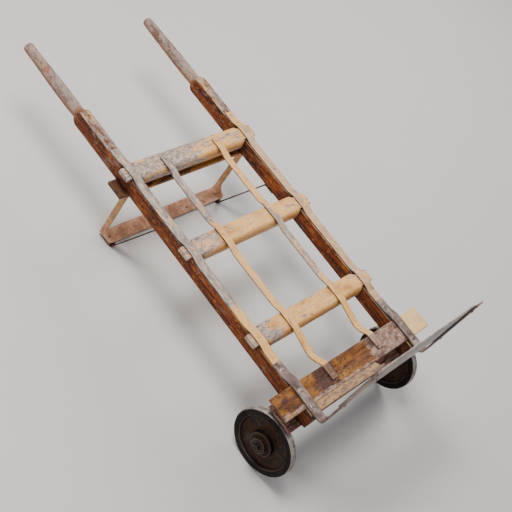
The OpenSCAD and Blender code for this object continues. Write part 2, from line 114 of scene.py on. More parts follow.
class Coat:
    """Builds one material out of nodes, a step at a time."""

    def __init__(self, name: str) -> None:
        """Starts an empty material with its shader, output and coordinates.

        Args:
            name: The material's name.
        """
        self.material = bpy.data.materials.new(name)
        self.material.use_nodes = True
        self.tree = self.material.node_tree
        self.tree.nodes.clear()
        self.shader = self.tree.nodes.new("ShaderNodeBsdfPrincipled")
        self.shader.inputs["Specular IOR Level"].default_value = COAT_GLOSS
        output = self.tree.nodes.new("ShaderNodeOutputMaterial")
        self.tree.links.new(self.shader.outputs["BSDF"], output.inputs["Surface"])
        self.place = self.tree.nodes.new("ShaderNodeTexCoord")
        split = self.tree.nodes.new("ShaderNodeSeparateXYZ")
        self.tree.links.new(self.place.outputs["Object"], split.inputs[0])
        self.split = split
        facing = self.tree.nodes.new("ShaderNodeSeparateXYZ")
        self.tree.links.new(self.place.outputs["Normal"], facing.inputs[0])
        self.facing = facing

    def _feed(self, socket: Socket, value: Union[Amount, Tone]) -> None:
        """Links a socket to an input, or sets the input to a plain value.

        Args:
            socket: The input to fill.
            value: A socket, a number or a colour.
        """
        if isinstance(value, bpy.types.NodeSocket):
            self.tree.links.new(value, socket)
        else:
            socket.default_value = value

    def at(self, axis: Axis) -> Socket:
        """Returns the place along one axis, in metres."""
        return self.split.outputs[axis.value]

    def facing_to(self, axis: Axis) -> Socket:
        """Returns how far the surface faces along one axis, from -1 to 1."""
        return self.facing.outputs[axis.value]

    def calc(self, kind: str, first: Amount, second: Amount = 0.0) -> Socket:
        """Adds one sum.

        Args:
            kind: The operation, such as "MULTIPLY".
            first: The first term.
            second: The second term.

        Returns:
            The result.
        """
        node = self.tree.nodes.new("ShaderNodeMath")
        node.operation = kind
        self._feed(node.inputs[0], first)
        self._feed(node.inputs[1], second)
        return node.outputs[0]

    def scaled(self, value: Amount, share: float, start: float) -> Socket:
        """Returns a start with a share of a value added to it."""
        result = self.calc("MULTIPLY_ADD", value, share)
        result.node.inputs[2].default_value = start
        return result

    def push(self, pattern: Amount, mask: Amount, amount: float) -> Socket:
        """Raises a pattern where a mask shows, so that more of it passes a step.

        Args:
            pattern: The pattern.
            mask: Where it is raised.
            amount: How far it is raised. It is lowered by less than 0.

        Returns:
            The raised pattern.
        """
        return self.calc("ADD", pattern, self.both(mask, amount))

    def both(self, first: Amount, second: Amount) -> Socket:
        """Returns two masks multiplied together."""
        return self.calc("MULTIPLY", first, second)

    def either(self, first: Amount, second: Amount) -> Socket:
        """Returns the larger of two masks."""
        return self.calc("MAXIMUM", first, second)

    def inverse(self, mask: Amount) -> Socket:
        """Returns one minus a mask."""
        return self.calc("SUBTRACT", 1.0, mask)

    def step(self, value: Amount, low: float, high: float) -> Socket:
        """Makes a soft step that is 0 at low and 1 at high.

        Args:
            value: What is stepped.
            low: Where the step is 0. It may be above high.
            high: Where the step is 1.

        Returns:
            The mask.
        """
        node = self.tree.nodes.new("ShaderNodeMapRange")
        node.interpolation_type = "SMOOTHSTEP"
        self._feed(node.inputs["Value"], value)
        swap = low > high
        node.inputs["From Min"].default_value = high if swap else low
        node.inputs["From Max"].default_value = low if swap else high
        node.inputs["To Min"].default_value = 1.0 if swap else 0.0
        node.inputs["To Max"].default_value = 0.0 if swap else 1.0
        return node.outputs["Result"]

    def between(self, value: Amount, low: float, high: float, soft: float) -> Socket:
        """Makes a mask that is 1 between two limits.

        Args:
            value: What is tested.
            low: The lower limit.
            high: The upper limit.
            soft: The width of each soft edge.

        Returns:
            The mask.
        """
        rise = self.step(value, low - soft, low + soft)
        fall = self.step(value, high + soft, high - soft)
        return self.both(rise, fall)

    def noise(
        self,
        scale: Sequence[float],
        detail: float,
        rough: float,
        seed: float = 0.0,
        warp: float = 0.0,
    ) -> Socket:
        """Adds a noise pattern, stretched by its three scales.

        Args:
            scale: Waves per metre across, along and up.
            detail: Number of finer layers.
            rough: Strength of the finer layers.
            seed: Moves the pattern to another place.
            warp: How much the pattern is distorted.

        Returns:
            The pattern, around 0.5.
        """
        move = self.tree.nodes.new("ShaderNodeMapping")
        self.tree.links.new(self.place.outputs["Object"], move.inputs["Vector"])
        move.inputs["Scale"].default_value = scale
        move.inputs["Location"].default_value = (seed * 7.3, seed * 3.1, seed * 5.7)
        node = self.tree.nodes.new("ShaderNodeTexNoise")
        self.tree.links.new(move.outputs["Vector"], node.inputs["Vector"])
        node.inputs["Scale"].default_value = 1.0
        node.inputs["Detail"].default_value = detail
        node.inputs["Roughness"].default_value = rough
        node.inputs["Distortion"].default_value = warp
        return node.outputs["Fac"]

    def pits(self, scale: float, seed: float = 0.0) -> Socket:
        """Adds small cells, for pits and hammer marks.

        Args:
            scale: Cells per metre.
            seed: Moves the pattern to another place.

        Returns:
            The distance to the nearest cell centre.
        """
        move = self.tree.nodes.new("ShaderNodeMapping")
        self.tree.links.new(self.place.outputs["Object"], move.inputs["Vector"])
        move.inputs["Location"].default_value = (seed, seed * 2, seed * 3)
        node = self.tree.nodes.new("ShaderNodeTexVoronoi")
        self.tree.links.new(move.outputs["Vector"], node.inputs["Vector"])
        node.inputs["Scale"].default_value = scale
        return node.outputs["Distance"]

    def edges(self, radius: float) -> Socket:
        """Finds outer edges, where paint rubs off.

        Args:
            radius: Reach of the edge, in metres.

        Returns:
            A mask that is 1 on an edge.
        """
        round_off = self.tree.nodes.new("ShaderNodeBevel")
        round_off.samples = MASK_SAMPLES
        round_off.inputs["Radius"].default_value = radius
        flat = self.tree.nodes.new("ShaderNodeNewGeometry")
        dot = self.tree.nodes.new("ShaderNodeVectorMath")
        dot.operation = "DOT_PRODUCT"
        self.tree.links.new(round_off.outputs[0], dot.inputs[0])
        self.tree.links.new(flat.outputs["Normal"], dot.inputs[1])
        return self.step(dot.outputs["Value"], OFF_EDGE, ON_EDGE)

    def corners(self, reach: float) -> Socket:
        """Finds inner corners, where shade is painted into the colour.

        Args:
            reach: How far the corner's shade reaches, in metres.

        Returns:
            A mask that is 1 deep in a corner.
        """
        node = self.tree.nodes.new("ShaderNodeAmbientOcclusion")
        node.samples = MASK_SAMPLES
        node.inputs["Distance"].default_value = reach
        return self.step(node.outputs["AO"], OUT_OF_CORNER, IN_CORNER)

    def mix(self, share: Amount, base: Tone, over: Tone) -> Socket:
        """Lays one colour over another.

        Args:
            share: How much of the upper colour shows.
            base: The lower colour.
            over: The upper colour.

        Returns:
            The mixed colour.
        """
        node = self.tree.nodes.new("ShaderNodeMix")
        node.data_type = "RGBA"
        self._feed(node.inputs[MIX_SHARE], share)
        self._feed(node.inputs[MIX_BASE], base)
        self._feed(node.inputs[MIX_OVER], over)
        return node.outputs[MIX_RESULT]

    def cover(self, mask: Amount, strength: float, base: Tone, over: Tone) -> Socket:
        """Lays one colour over another where a mask shows.

        Args:
            mask: Where the upper colour lies.
            strength: How much of it shows there.
            base: The lower colour.
            over: The upper colour.

        Returns:
            The mixed colour.
        """
        return self.mix(self.both(mask, strength), base, over)

    def shades(self, value: Amount, stops: Sequence[Tuple[float, Colour]]) -> Socket:
        """Turns a pattern into a run of colours.

        Args:
            value: The pattern.
            stops: Places from 0 to 1, each with its colour.

        Returns:
            The colour.
        """
        node = self.tree.nodes.new("ShaderNodeValToRGB")
        self._feed(node.inputs[0], value)
        run = node.color_ramp
        run.elements[0].position, run.elements[0].color = stops[0]
        run.elements[1].position, run.elements[1].color = stops[-1]
        for place, colour in stops[1:-1]:
            run.elements.new(place).color = colour
        return node.outputs[0]

    def relief(self, *layers: Tuple[Amount, float, float]) -> None:
        """Puts height patterns on the surface, one over another.

        Args:
            layers: Each pattern with its strength and its depth in metres.
        """
        last = None
        for pattern, strength, depth in layers:
            node = self.tree.nodes.new("ShaderNodeBump")
            node.inputs["Strength"].default_value = strength
            node.inputs["Distance"].default_value = depth
            self._feed(node.inputs["Height"], pattern)
            if last is not None:
                self.tree.links.new(last, node.inputs["Normal"])
            last = node.outputs[0]
        self.tree.links.new(last, self.shader.inputs["Normal"])

    def done(self, colour: Tone, rough: Amount, metal: Amount = 0.0) -> bpy.types.Material:
        """Feeds the shader.

        Args:
            colour: The surface colour.
            rough: The roughness.
            metal: How metallic the surface is.

        Returns:
            The finished material.
        """
        self._feed(self.shader.inputs["Base Color"], colour)
        self._feed(self.shader.inputs["Roughness"], rough)
        self._feed(self.shader.inputs["Metallic"], metal)
        return self.material


@dataclass(frozen=True)
class RailTimber:
    """Mottled red-brown timber with worn pale paint on top and rubbed mauve handles.

    Attributes:
        name: The material's name.
        shoulder: Where the handle starts, in metres along the truck.
        nose: Where painted shade darkens the rail towards the nose, in metres along the truck.
        seed: Moves the patterns to another place.
    """

    name: str = "rail_timber"
    shoulder: float = 0.43
    nose: float = -0.60
    seed: float = 1.0

    def material(self) -> bpy.types.Material:
        """Returns the finished material."""
        coat = Coat(self.name)
        s = self.seed
        grain = coat.noise((90, 7, 90), 7, 0.7, s, 0.3)
        fibre = coat.noise((320, 14, 320), 4, 0.65, s + 1)
        wood = coat.shades(
            grain,
            [
                (0.36, tint(54, 24, 11)),
                (0.46, tint(96, 43, 15)),
                (0.54, tint(124, 58, 19)),
                (0.64, tint(152, 80, 30)),
                (0.74, tint(104, 58, 34)),
            ],
        )
        broad = coat.noise((26, 9, 26), 8, 0.72, s + 2, 0.5)
        along = coat.at(Axis.ALONG)
        lower = coat.step(along, 0.1, -0.25)
        broad = coat.push(broad, lower, -0.05)
        wood = coat.cover(coat.step(broad, 0.53, 0.57), 0.8, wood, tint(38, 22, 20))
        specks = coat.step(coat.noise((150, 90, 150), 5, 0.7, s + 3), 0.57, 0.62)
        wood = coat.cover(specks, 0.7, wood, tint(26, 13, 9))
        embers = coat.step(coat.noise((110, 50, 110), 6, 0.7, s + 9), 0.58, 0.62)
        wood = coat.cover(embers, 0.7, wood, tint(184, 116, 50))
        worn_end = coat.step(along, -0.1, 0.35)
        lilac = coat.push(coat.noise((60, 20, 60), 7, 0.7, s + 4), worn_end, 0.05)
        wood = coat.cover(coat.step(lilac, 0.60, 0.64), 0.7, wood, tint(134, 106, 96))
        # Painted shade: the rail's end towards the nose is darkened.
        nose = coat.step(along, self.nose + 0.06, self.nose - 0.08)
        wood = coat.cover(nose, 0.45, wood, tint(42, 30, 20))
        up = coat.facing_to(Axis.UP)
        grip = coat.step(along, self.shoulder - 0.01, self.shoulder + 0.02)
        palms = coat.step(broad, 0.46, 0.54)
        bare_grip = coat.mix(palms, tint(164, 110, 80), tint(122, 92, 80))
        wood = coat.cover(grip, 0.9, wood, bare_grip)
        low_side = coat.calc("ADD", up, coat.noise((40, 9, 40), 5, 0.65, s + 8))
        wrapped = coat.both(grip, coat.step(low_side, 0.35, 0.75))
        cover = coat.either(coat.step(up, 0.45, 0.8), wrapped)
        flakes = coat.noise((48, 20, 48), 9, 0.74, s + 5)
        edge = coat.edges(0.003)
        flaked = coat.step(coat.push(flakes, edge, 0.10), 0.56, 0.53)
        cover = coat.both(cover, flaked)
        fade = coat.step(coat.noise((10, 4, 10), 5, 0.66, s + 6), 0.46, 0.60)
        fade = coat.both(fade, coat.inverse(coat.both(grip, 0.75)))
        paint = coat.mix(fade, tint(160, 138, 124), tint(210, 168, 110))
        paint = coat.cover(grip, 0.35, paint, tint(158, 140, 134))
        scuff = coat.step(coat.noise((90, 36, 90), 7, 0.74, s + 7), 0.50, 0.56)
        paint = coat.cover(scuff, 0.75, paint, tint(112, 92, 90))
        colour = coat.mix(cover, wood, paint)
        # Painted shade: inner corners are darkened, broadly and then tightly.
        colour = coat.cover(coat.corners(0.03), 0.7, colour, tint(24, 15, 12))
        colour = coat.cover(coat.corners(0.006), 0.8, colour, tint(30, 18, 14))
        coat.relief((fibre, 0.4, 0.0008), (grain, 0.5, 0.0014), (cover, 0.6, 0.0005))
        rough = coat.scaled(cover, -0.15, 0.72)
        return coat.done(colour, rough)


@dataclass(frozen=True)
class CrossbarPaint:
    """Cream paint on a crossbar, scuffed to lilac grey and chipped at its edges.

    Attributes:
        name: The material's name.
        seed: Moves the patterns to another place.
        scuff: How high the pattern must be for a scuff. Lower makes more scuffs.
        grey_from: Where the scuffs start to crowd, in metres across the truck.
        grey_to: Where they crowd fully.
        rim_share: How much more the bar is scuffed along its edges.
    """

    name: str
    seed: float
    scuff: float
    grey_from: float
    grey_to: float
    rim_share: float = 0.07

    def material(self) -> bpy.types.Material:
        """Returns the finished material."""
        coat = Coat(self.name)
        s = self.seed
        warm = coat.noise((9, 18, 18), 6, 0.66, s)
        paint = coat.shades(
            warm,
            [
                (0.34, tint(198, 134, 64)),
                (0.46, tint(234, 174, 100)),
                (0.58, tint(244, 190, 120)),
                (0.70, tint(216, 170, 122)),
            ],
        )
        # Painted shade: the face turned towards the nose is painted a darker ochre; it also takes
        # fewer scuffs.
        shaded_near_face = coat.step(coat.facing_to(Axis.ALONG), -0.45, -0.85)
        paint = coat.cover(shaded_near_face, 0.45, paint, tint(182, 114, 48))
        rim = coat.edges(0.011)
        lean = coat.step(coat.at(Axis.ACROSS), self.grey_from, self.grey_to)
        blotch = coat.noise((15, 52, 52), 10, 0.78, s + 1, 0.5)
        blotch = coat.push(blotch, lean, 0.12)
        blotch = coat.push(blotch, rim, self.rim_share)
        blotch = coat.push(blotch, shaded_near_face, -0.05)
        scuffed = coat.step(blotch, self.scuff, self.scuff + 0.02)
        grey = coat.shades(
            coat.noise((70, 120, 120), 7, 0.76, s + 2),
            [
                (0.38, tint(112, 96, 104)),
                (0.47, tint(154, 136, 132)),
                (0.56, tint(188, 168, 152)),
                (0.66, tint(214, 190, 158)),
            ],
        )
        paint = coat.cover(scuffed, 0.95, paint, grey)
        blue = coat.step(coat.noise((80, 120, 120), 8, 0.76, s + 3), 0.575, 0.605)
        paint = coat.cover(blue, 0.75, paint, tint(124, 114, 126))
        wood = coat.shades(
            coat.noise((6, 150, 150), 6, 0.66, s + 4),
            [(0.36, tint(48, 28, 22)), (0.52, tint(116, 72, 42)), (0.66, tint(84, 52, 36))],
        )
        edge = coat.edges(0.0045)
        flakes = coat.noise((70, 100, 100), 9, 0.76, s + 5)
        chipped = coat.step(coat.push(flakes, edge, 0.13), 0.62, 0.645)
        under = coat.step(coat.facing_to(Axis.UP), -0.2, -0.7)
        chipped = coat.either(chipped, coat.both(under, coat.step(flakes, 0.42, 0.48)))
        colour = coat.mix(chipped, paint, wood)
        # Painted shade: inner corners are darkened.
        corner_shade_share = coat.both(coat.corners(0.022), 0.75)
        colour = coat.mix(corner_shade_share, colour, tint(44, 29, 22))
        grain = coat.noise((8, 180, 180), 5, 0.66, s + 6)
        coat.relief((grain, 0.3, 0.0008), (coat.inverse(chipped), 0.7, 0.0006))
        rough = coat.scaled(chipped, 0.2, 0.5)
        return coat.done(colour, rough)


@dataclass(frozen=True)
class BoardPaint:
    """Ochre paint worn to dark wood, with a clean cream end beyond the right rail.

    Places are in metres across the truck.

    Attributes:
        name: The material's name.
        clean_from: Where the clean end starts.
        grey_from: Where the grey part starts.
        soot_low: Left edge of the sooty patch.
        soot_high: Right edge of the sooty patch.
        seed: Moves the patterns to another place.
    """

    name: str = "axle_board_paint"
    clean_from: float = 0.2525
    grey_from: float = 0.062
    soot_low: float = -0.168
    soot_high: float = -0.078
    seed: float = 21.0

    def material(self) -> bpy.types.Material:
        """Returns the finished material."""
        coat = Coat(self.name)
        s = self.seed
        across = coat.at(Axis.ACROSS)
        ochre = coat.shades(
            coat.noise((10, 26, 26), 6, 0.66, s),
            [
                (0.34, tint(70, 34, 12)),
                (0.45, tint(108, 60, 20)),
                (0.55, tint(146, 94, 34)),
                (0.70, tint(168, 116, 56)),
            ],
        )
        grey = coat.shades(
            coat.noise((60, 90, 90), 8, 0.76, s + 3),
            [
                (0.38, tint(86, 60, 54)),
                (0.48, tint(140, 112, 100)),
                (0.58, tint(178, 150, 132)),
                (0.68, tint(208, 180, 140)),
            ],
        )
        shabby = coat.step(across, -0.25, -0.29)
        tatters = coat.noise((34, 60, 60), 8, 0.74, s + 10)
        shabby = coat.step(coat.push(tatters, shabby, 0.06), 0.57, 0.61)
        ochre = coat.cover(shabby, 0.75, ochre, tint(58, 34, 28))
        soot = coat.between(across, self.soot_low, self.soot_high, 0.022)
        soot_noise = coat.noise((20, 34, 34), 7, 0.7, s + 2)
        soot = coat.step(coat.push(soot_noise, soot, 0.30), 0.64, 0.78)
        colour = coat.cover(soot, 0.9, ochre, tint(72, 44, 38))
        ring = coat.between(across, self.soot_low - 0.04, self.soot_high + 0.05, 0.02)
        peppered = coat.push(coat.noise((150, 190, 190), 6, 0.76, s + 1), ring, 0.07)
        colour = coat.cover(coat.step(peppered, 0.60, 0.63), 0.88, colour, tint(38, 21, 13))
        rim_noise = coat.both(coat.noise((30, 30, 30), 4, 0.6, s + 8), 0.02)
        rim = coat.step(coat.calc("ADD", coat.at(Axis.ALONG), rim_noise), -0.578, -0.590)
        right = coat.step(across, self.grey_from - 0.03, self.grey_from + 0.03)
        lean = coat.either(right, coat.both(rim, 0.9))
        grey_noise = coat.noise((22, 46, 46), 8, 0.74, s + 4, 0.3)
        greyed = coat.step(coat.push(grey_noise, lean, 0.24), 0.62, 0.68)
        colour = coat.cover(greyed, 0.95, colour, grey)
        umber = coat.between(across, 0.074, 0.118, 0.012)
        umber = coat.both(umber, coat.step(coat.noise((26, 30, 30), 5, 0.66, s + 9), 0.42, 0.56))
        colour = coat.cover(umber, 0.8, colour, tint(74, 46, 36))
        cream = coat.shades(
            coat.noise((26, 34, 34), 6, 0.66, s + 5),
            [(0.34, tint(232, 188, 118)), (0.56, tint(248, 208, 144)), (0.70, tint(220, 186, 136))],
        )
        clean = coat.step(across, self.clean_from - 0.001, self.clean_from + 0.001)
        colour = coat.mix(clean, colour, cream)
        edge = coat.edges(0.003)
        flakes = coat.noise((80, 90, 90), 7, 0.74, s + 6)
        rubbed = coat.step(coat.push(flakes, edge, 0.22), 0.66, 0.71)
        colour = coat.cover(rubbed, 0.8, colour, tint(190, 158, 122))
        # Painted shade: inner corners are darkened.
        colour = coat.cover(coat.corners(0.018), 0.75, colour, tint(36, 22, 17))
        grain = coat.noise((7, 210, 210), 5, 0.66, s + 7)
        coat.relief((grain, 0.35, 0.0009), (peppered, 0.3, 0.0005))
        return coat.done(colour, 0.56)


@dataclass(frozen=True)
class PlankPaint:
    """Thin faded paint on a plank, flaked down to the wood.

    Attributes:
        name: The material's name.
        seed: Moves the patterns to another place.
        pale: The paint where it is thin.
        deep: The paint where it is whole.
        bare: The wood under it.
        flaking: How high the pattern must be for a flake. Lower makes more flakes.
        dark_end: Left of this place, in metres across the truck, the plank is dark.
    """

    name: str
    seed: float
    pale: Colour
    deep: Colour
    bare: Colour
    flaking: float = 0.60
    dark_end: float = -NOWHERE

    def material(self) -> bpy.types.Material:
        """Returns the finished material."""
        coat = Coat(self.name)
        s = self.seed
        wash = coat.noise((16, 38, 38), 8, 0.72, s, 0.3)
        colour = coat.mix(coat.step(wash, 0.45, 0.56), self.pale, self.deep)
        mottle = coat.step(coat.noise((90, 130, 130), 6, 0.74, s + 4), 0.52, 0.60)
        colour = coat.cover(mottle, 0.4, colour, self.bare)
        end = coat.step(coat.at(Axis.ACROSS), self.dark_end + 0.01, self.dark_end - 0.01)
        colour = coat.cover(end, 0.85, colour, self.bare)
        flakes = coat.noise((80, 110, 110), 9, 0.76, s + 1)
        edge = coat.edges(0.0025)
        loose = coat.push(flakes, edge, 0.06)
        chipped = coat.step(loose, self.flaking, self.flaking + 0.03)
        wood = coat.mix(coat.noise((7, 170, 170), 5, 0.66, s + 2), self.bare, tint(42, 26, 20))
        colour = coat.cover(chipped, 0.9, colour, wood)
        rubbed = coat.both(edge, coat.step(flakes, 0.52, 0.44))
        colour = coat.cover(rubbed, 0.5, colour, tint(204, 178, 148))
        # Painted shade: inner corners are darkened.
        colour = coat.cover(coat.corners(0.02), 0.8, colour, tint(30, 20, 17))
        grain = coat.noise((7, 190, 190), 5, 0.66, s + 3)
        coat.relief((grain, 0.35, 0.0009), (chipped, -0.5, 0.0004))
        return coat.done(colour, 0.62)


@dataclass(frozen=True)
class StrapPaint:
    """Cream paint on strap iron, rubbed to lilac grey along part of its run.

    Places are in metres along the truck.

    Attributes:
        name: The material's name.
        seed: Moves the patterns to another place.
        grey_from: Where the rubbed part starts.
        grey_to: Where it is rubbed fully.
        grey_share: How much the grey hides the cream.
        foot: The colour where the strap lies on the axle board.
        grey_end: Where the rubbed part stops again.
    """

    name: str
    seed: float
    grey_from: float
    grey_to: float
    grey_share: float = 0.95
    foot: Colour = tint(112, 84, 74)
    grey_end: float = -NOWHERE

    def material(self) -> bpy.types.Material:
        """Returns the finished material."""
        coat = Coat(self.name)
        s = self.seed
        along = coat.at(Axis.ALONG)
        cream = coat.shades(
            coat.noise((40, 9, 40), 6, 0.66, s),
            [(0.34, tint(206, 144, 78)), (0.48, tint(240, 182, 108)), (0.64, tint(220, 174, 122))],
        )
        grey = coat.shades(
            coat.noise((80, 34, 80), 7, 0.74, s + 1),
            [(0.38, tint(114, 101, 103)), (0.48, tint(154, 141, 135)), (0.62, tint(194, 181, 168))],
        )
        run = coat.step(along, self.grey_from, self.grey_to)
        run = coat.both(run, coat.step(along, self.grey_end - 0.03, self.grey_end + 0.03))
        patch = coat.noise((34, 14, 34), 8, 0.72, s + 2)
        rubbed = coat.step(coat.push(patch, run, 0.24), 0.61, 0.67)
        colour = coat.cover(rubbed, self.grey_share, cream, grey)
        scratch = coat.step(coat.noise((260, 30, 260), 6, 0.74, s + 3), 0.57, 0.61)
        colour = coat.cover(scratch, 0.5, colour, tint(112, 90, 78))
        edge = coat.edges(0.0016)
        flakes = coat.noise((110, 60, 110), 8, 0.74, s + 4)
        bare = coat.step(coat.push(flakes, edge, 0.16), 0.61, 0.64)
        colour = coat.cover(bare, 0.9, colour, tint(66, 44, 34))
        # Painted shade: faces turned away from the top are darkened.
        shaded_side = coat.step(coat.facing_to(Axis.UP), 0.6, 0.2)
        colour = coat.cover(shaded_side, 0.6, colour, tint(52, 34, 27))
        board = coat.step(along, -0.532, -0.540)
        foot = coat.mix(coat.step(patch, 0.47, 0.58), self.foot, tint(82, 56, 48))
        colour = coat.cover(board, 0.92, colour, foot)
        # Painted shade: inner corners are darkened.
        colour = coat.cover(coat.corners(0.012), 0.8, colour, tint(26, 18, 15))
        skin = coat.noise((150, 80, 150), 6, 0.66, s + 5)
        coat.relief((skin, 0.3, 0.0006), (bare, -0.6, 0.0003))
        rough = coat.scaled(bare, -0.12, 0.5)
        return coat.done(colour, rough)


@dataclass(frozen=True)
class RubbedIron:
    """Bare iron with a mauve cast, fine rust in its pits and bright edges.

    Attributes:
        name: The material's name.
        seed: Moves the patterns to another place.
        light: The lighter of its two main colours.
        dark: The darker one.
        rust: The rust.
        bright: The rubbed edges.
        metal: How metallic it looks.
        rust_from: How high the pattern must be for rust. Lower makes more rust.
        high: The lighter colour of the part above high_from.
        high_from: A height, in metres.
    """

    name: str
    seed: float
    light: Colour = tint(150, 129, 120)
    dark: Colour = tint(98, 80, 75)
    rust: Colour = tint(70, 44, 32)
    bright: Colour = tint(206, 192, 182)
    metal: float = 0.3
    rust_from: float = 0.60
    high: Colour = tint(204, 156, 92)
    high_from: float = NOWHERE

    def material(self) -> bpy.types.Material:
        """Returns the finished material."""
        coat = Coat(self.name)
        s = self.seed
        cloud = coat.noise((30, 18, 18), 8, 0.7, s, 0.3)
        high = coat.step(coat.at(Axis.UP), self.high_from, self.high_from + 0.03)
        light = coat.mix(high, self.light, self.high)
        colour = coat.mix(coat.step(cloud, 0.42, 0.60), light, self.dark)
        fine = coat.noise((170, 170, 170), 6, 0.74, s + 1)
        colour = coat.cover(coat.step(fine, 0.52, 0.62), 0.45, colour, self.dark)
        blooms = coat.noise((75, 75, 75), 8, 0.74, s + 2)
        rusty = coat.step(blooms, self.rust_from, self.rust_from + 0.03)
        colour = coat.cover(rusty, 0.75, colour, self.rust)
        edge = coat.edges(0.0016)
        glint = coat.both(edge, coat.step(coat.noise((70, 70, 70), 5, 0.66, s + 3), 0.36, 0.50))
        colour = coat.cover(glint, 0.9, colour, self.bright)
        # Painted shade: inner corners are darkened.
        colour = coat.cover(coat.corners(0.015), 0.75, colour, tint(24, 18, 16))
        coat.relief((fine, 0.3, 0.0006), (coat.pits(120, s), 0.12, 0.0007))
        rough = coat.scaled(rusty, 0.25, 0.42)
        return coat.done(colour, rough, self.metal)


@dataclass(frozen=True)
class WheelIron:
    """Dark cast iron, rusty on the web, with a tread worn to bright grey, painted shade in its
    grooves and corners, and painted highlights and sheen on its rings and web.

    Attributes:
        name: The material's name.
        seed: Moves the patterns to another place.
        centre: The wheel's centre, along the truck and up, in metres.
        radius: The wheel's radius, in metres.
    """

    name: str
    seed: float
    centre: Tuple[float, float]
    radius: float

    def material(self) -> bpy.types.Material:
        """Returns the finished material."""
        coat = Coat(self.name)
        s = self.seed
        coat.shader.inputs["Specular IOR Level"].default_value = WHEEL_GLOSS
        along = coat.calc("SUBTRACT", coat.at(Axis.ALONG), self.centre[0])
        height = coat.calc("SUBTRACT", coat.at(Axis.UP), self.centre[1])
        square = coat.calc("ADD", coat.both(along, along), coat.both(height, height))
        out = coat.calc("DIVIDE", coat.calc("SQRT", square), self.radius)
        cast = coat.noise((90, 90, 90), 7, 0.72, s)
        colour = coat.shades(
            cast,
            [
                (0.38, tint(20, 12, 8)),
                (0.48, tint(38, 25, 16)),
                (0.58, tint(54, 37, 25)),
                (0.68, tint(74, 56, 42)),
            ],
        )
        web = coat.between(out, 0.36, 0.76, 0.03)
        rusty = coat.step(coat.noise((34, 34, 34), 8, 0.74, s + 1, 0.4), 0.47, 0.56)
        colour = coat.cover(coat.both(web, rusty), 0.72, colour, tint(62, 39, 22))
        # Painted sheen: grey-mauve patches on the web.
        sheen_patches = coat.step(coat.noise((24, 24, 24), 6, 0.7, s + 2), 0.54, 0.66)
        colour = coat.cover(coat.both(web, sheen_patches), 0.35, colour, tint(86, 72, 68))
        rim = coat.both(coat.step(out, 0.77, 0.80), coat.step(out, 0.975, 0.965))
        colour = coat.cover(rim, 0.85, colour, tint(14, 9, 7))
        # Painted shade: dark rings in the grooves at the hub and rim steps.
        groove_shade = coat.between(out, 0.745, 0.775, 0.008)
        for low, high in ((0.355, 0.375), (0.232, 0.250)):
            groove_shade = coat.either(groove_shade, coat.between(out, low, high, 0.006))
        colour = coat.cover(groove_shade, 0.85, colour, tint(10, 7, 6))
        # Painted highlight: light rings on the edges of the hub and rim steps.
        ring = coat.between(out, 0.330, 0.346, 0.005)
        for low, high in ((0.205, 0.222), (0.790, 0.806)):
            ring = coat.either(ring, coat.between(out, low, high, 0.005))
        colour = coat.cover(ring, 0.45, colour, tint(124, 100, 88))
        tread = coat.step(out, 0.972, 0.985)
        worn = coat.shades(
            coat.noise((80, 50, 50), 7, 0.74, s + 3),
            [(0.36, tint(84, 76, 72)), (0.48, tint(138, 128, 122)), (0.62, tint(186, 176, 168))],
        )
        colour = coat.cover(tread, 0.95, colour, worn)
        edge = coat.edges(0.002)
        colour = coat.cover(edge, 0.35, colour, tint(128, 112, 102))
        # Painted shade: inner corners are darkened.
        colour = coat.cover(coat.corners(0.02), 0.65, colour, tint(14, 10, 9))
        skin = coat.noise((190, 190, 190), 6, 0.7, s + 4)
        coat.relief((skin, 0.35, 0.0008), (cast, 0.35, 0.0014))
        rough = coat.scaled(rusty, 0.2, 0.48)
        return coat.done(colour, rough, 0.05)


def deselect() -> None:
    """Clears the selection before an operator runs."""
    if bpy.context.object is not None and bpy.context.object.mode != "OBJECT":
        bpy.ops.object.mode_set(mode="OBJECT")
    bpy.ops.object.select_all(action="DESELECT")


def dress(piece: bpy.types.Object, material: bpy.types.Material) -> None:
    """Gives a piece one material.

    Args:
        piece: The piece.
        material: Its material.
    """
    piece.data.materials.clear()
    piece.data.materials.append(material)


def worked(node: str, soften: float, steps: int = 2) -> bpy.types.Object:
    """Makes a softened copy of a CAD node that shows in its place.

    Args:
        node: The CAD node's name.
        soften: Width of the softened edges, in metres.
        steps: Number of faces across a softened edge.

    Returns:
        The new piece.
    """
    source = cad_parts[node]
    piece = bpy.data.objects.new(node + "_worked", source.data.copy())
    bpy.context.scene.collection.objects.link(piece)
    deselect()
    piece.select_set(True)
    bpy.context.view_layer.objects.active = piece
    bpy.ops.object.mode_set(mode="EDIT")
    bpy.ops.mesh.select_all(action="SELECT")
    bpy.ops.mesh.remove_doubles(threshold=MERGE_WITHIN)
    bpy.ops.mesh.dissolve_limited(angle_limit=FLAT_WITHIN)
    bpy.ops.object.mode_set(mode="OBJECT")
    bevel = piece.modifiers.new("soft_edges", "BEVEL")
    bevel.width = soften
    bevel.segments = steps
    bevel.limit_method = "ANGLE"
    bevel.angle_limit = SHARP_FROM
    bevel.use_clamp_overlap = True
    bpy.ops.object.modifier_apply(modifier=bevel.name)
    bpy.ops.object.shade_smooth_by_angle(angle=SHARP_FROM)
    deselect()
    return piece


def settle(piece: bpy.types.Object, body: Body, node: str) -> None:
    """Puts a piece on its body in place of a CAD node, and says so.

    Args:
        piece: The finished piece.
        body: The body that it rides on.
        node: The CAD node that it stands for.
    """
    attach(piece, body.value)
    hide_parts(node)
    LOG.info("%s stands for %s: %d faces", piece.name, node, len(piece.data.polygons))


